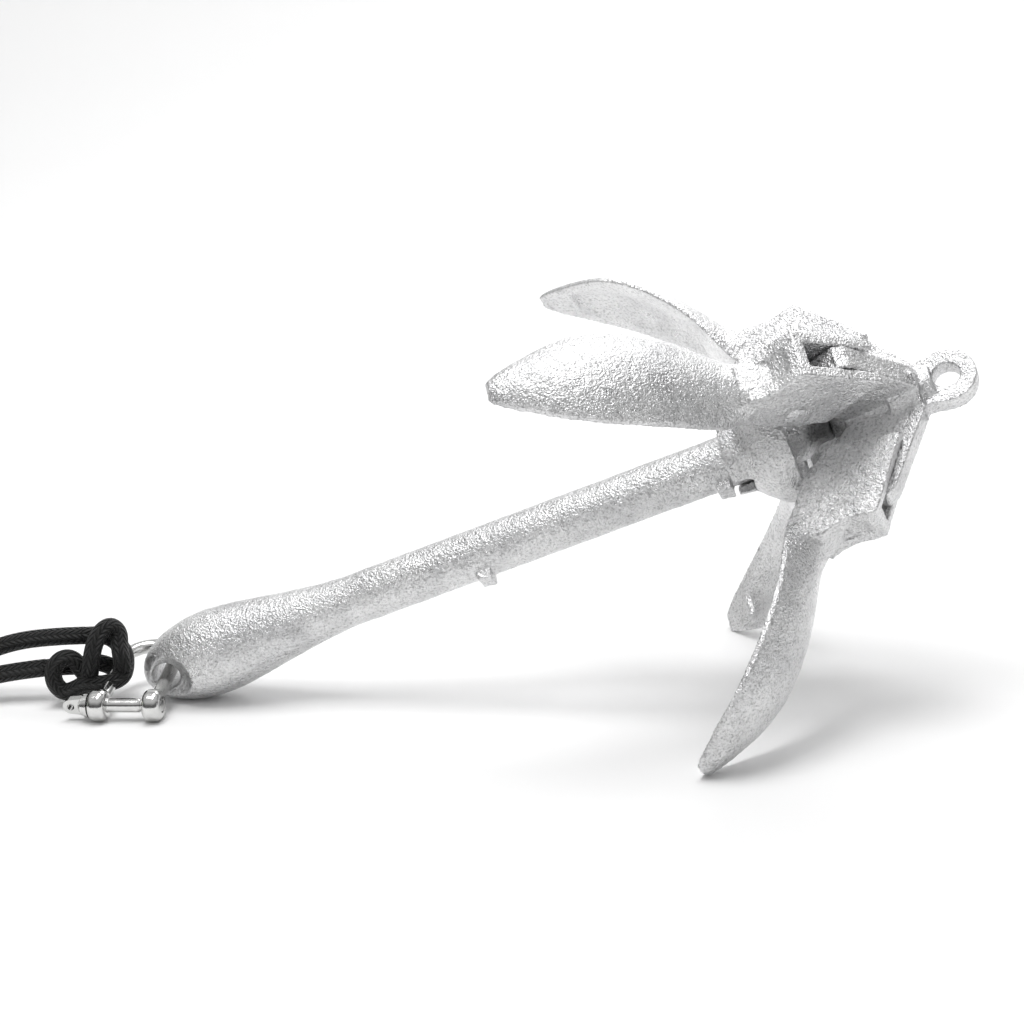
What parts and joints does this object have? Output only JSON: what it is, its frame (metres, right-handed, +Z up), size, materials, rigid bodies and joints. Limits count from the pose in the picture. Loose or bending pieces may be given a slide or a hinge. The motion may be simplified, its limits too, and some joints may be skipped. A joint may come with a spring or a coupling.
{
  "type": "folding grapnel anchor",
  "caption": "Folding grapnel anchor with hinged flukes, locking collar, towing eye, screw-pin shackle and knotted rope with a float and snap hook.",
  "frame": {"origin": "on the surface the anchor lies on, under the middle of the box round the anchor and its shackle, the rope kit left out", "axes": "+Z up, +X along the anchor towards its crown, +Y to the far side"},
  "size_m": [0.754, 0.1583, 0.1415],
  "materials": {
    "cast": "hot-dip galvanised",
    "pin": "galvanised rivet",
    "shackle": "polished stainless",
    "rope": "braided",
    "float": "moulded",
    "carabiner": "polished",
    "sleeve": "knurled"
  },
  "bodies": {
    "anchor": {"crown": "cast", "shank": "cast", "rope_lead": "rope", "rope_tail": "rope", "rope_coil": "rope", "rope_end_run": "rope", "rope_end_knot": "rope", "carabiner_body": "carabiner", "carabiner_gate_pin": "carabiner"},
    "collar": {"collar": "cast"},
    "fluke_front_upper": {"fluke_front_upper": "cast", "fluke_pin_front_upper": "pin"},
    "fluke_rear_upper": {"fluke_rear_upper": "cast", "fluke_pin_rear_upper": "pin"},
    "fluke_rear_lower": {"fluke_rear_lower": "cast", "fluke_pin_rear_lower": "pin"},
    "fluke_front_lower": {"fluke_front_lower": "cast", "fluke_pin_front_lower": "pin"},
    "shackle": {"shackle_bow": "shackle", "rope_knot": "rope", "rope_lead_start": "rope", "rope_tail_start": "rope"},
    "shackle_pin": {"shackle_pin": "shackle"},
    "float": {"float": "float"},
    "carabiner_gate": {"carabiner_gate": "carabiner"},
    "carabiner_sleeve": {"carabiner_sleeve": "sleeve"}
  },
  "joints": [
    {"name": "fluke_front_upper_fold", "type": "hinge", "parent": "anchor", "child": "fluke_front_upper", "pos_m": [0.09539, -0.01847, 0.10992], "axis": [0.2458, -0.7028, -0.6676], "range_deg": [0, 43.02]},
    {"name": "fluke_rear_upper_fold", "type": "hinge", "parent": "anchor", "child": "fluke_rear_upper", "pos_m": [0.09532, 0.01477, 0.11011], "axis": [-0.2428, -0.7114, 0.6595], "range_deg": [0, 49.02]},
    {"name": "fluke_rear_lower_fold", "type": "hinge", "parent": "anchor", "child": "fluke_rear_lower", "pos_m": [0.10681, 0.01497, 0.07892], "axis": [-0.2458, 0.7028, 0.6676], "range_deg": [0, 62.42]},
    {"name": "fluke_front_lower_fold", "type": "hinge", "parent": "anchor", "child": "fluke_front_lower", "pos_m": [0.10688, -0.01827, 0.07873], "axis": [0.2428, 0.7114, -0.6595], "range_deg": [0, 58.2]},
    {"name": "collar_slide", "type": "slide", "parent": "anchor", "child": "collar", "axis": [-0.9384, 0, -0.3455], "range_m": [0, 0.1121]},
    {"name": "shackle_swing", "type": "hinge", "parent": "anchor", "child": "shackle", "pos_m": [-0.12506, -0.00175, 0.01116], "axis": [0, 0.9759, 0.2182], "range_deg": [0, 50]},
    {"name": "shackle_pin_turn", "type": "hinge", "parent": "shackle", "child": "shackle_pin", "pos_m": [-0.13491, -0.02615, 0.0057], "axis": [1, 0, 0], "range_deg": [0, 1890]},
    {"name": "float_slide", "type": "slide", "parent": "anchor", "child": "float", "axis": [-1, 0, 0], "range_m": [0, 0.01]},
    {"name": "carabiner_gate_swing", "type": "hinge", "parent": "anchor", "child": "carabiner_gate", "pos_m": [-0.54698, -0.03533, 0.00951], "axis": [0.1266, 0, -0.992], "range_deg": [0, 25], "stiffness_Nm_per_rad": 0.1, "springref_deg": -17.19},
    {"name": "carabiner_sleeve_slide", "type": "slide", "parent": "carabiner_gate", "child": "carabiner_sleeve", "axis": [-0.992, 0, -0.1266], "range_m": [0, 0.014]}
  ],
  "couplings": [
    {"joint": "fluke_front_upper_fold", "follows": "fluke_front_lower_fold", "ratio": 0.73883},
    {"joint": "fluke_rear_upper_fold", "follows": "fluke_front_lower_fold", "ratio": 0.84192},
    {"joint": "fluke_rear_lower_fold", "follows": "fluke_front_lower_fold", "ratio": 1.0722},
    {"joint": "collar_slide", "follows": "fluke_front_lower_fold", "m_per_rad": 0.11026}
  ]
}
